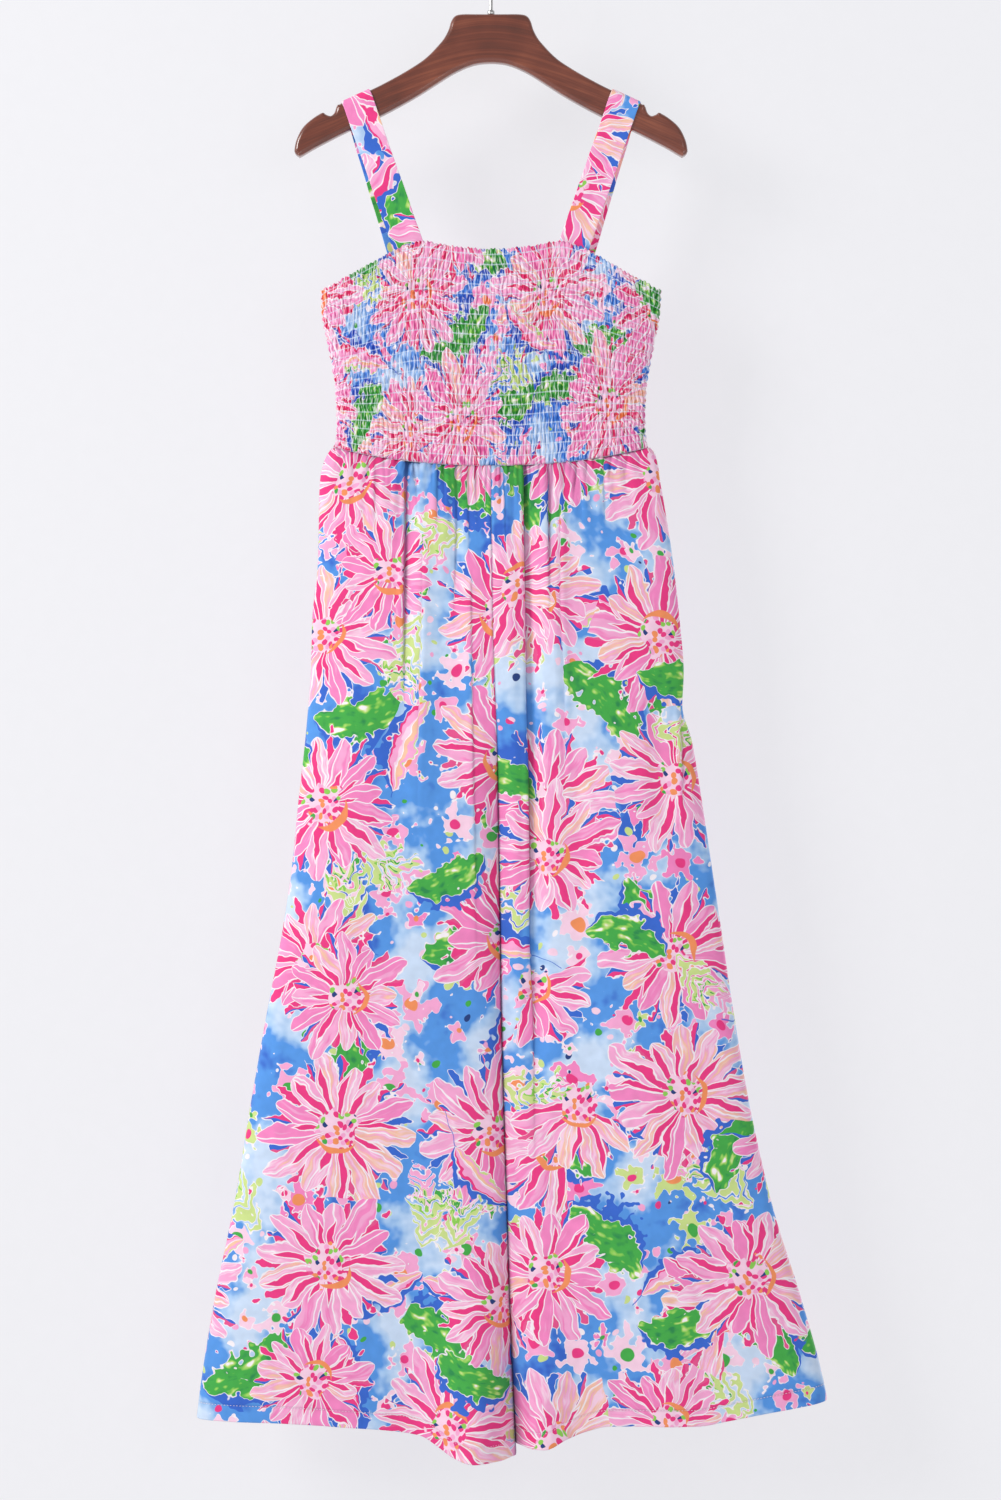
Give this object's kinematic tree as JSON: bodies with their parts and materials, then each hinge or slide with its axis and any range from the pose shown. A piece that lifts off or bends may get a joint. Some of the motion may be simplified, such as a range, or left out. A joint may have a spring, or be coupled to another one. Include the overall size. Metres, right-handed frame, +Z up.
{
  "type": "jumpsuit on a hanger",
  "caption": "Wide-leg jumpsuit with a shirred square-neck bodice, flat straps and a gathered waist in a painterly floral print, hung on a varnished wooden hanger with a wire hook.",
  "frame": {"origin": "inside top of the hanger's hook, where it bears on a rail", "axes": "+Z up the garment towards the hook, -Y out of the garment's front, +X towards its right-hand side as seen from the front"},
  "size_m": [0.611, 0.075, 1.4626],
  "materials": {
    "printed_cloth": "matt woven cloth with a soft painterly floral print in pink, blue, green and white",
    "hanger_wood": "dark reddish brown stain under satin varnish",
    "hook_steel": "bright plated wire"
  },
  "bodies": {
    "root": {"bodice_front": "printed_cloth", "bodice_back": "printed_cloth", "strap_left": "printed_cloth", "strap_right": "printed_cloth", "leg_front_left": "printed_cloth", "leg_front_right": "printed_cloth", "leg_back_left": "printed_cloth", "leg_back_right": "printed_cloth", "hanger_wood": "hanger_wood", "hanger_hook": "hook_steel"}
  },
  "joints": []
}
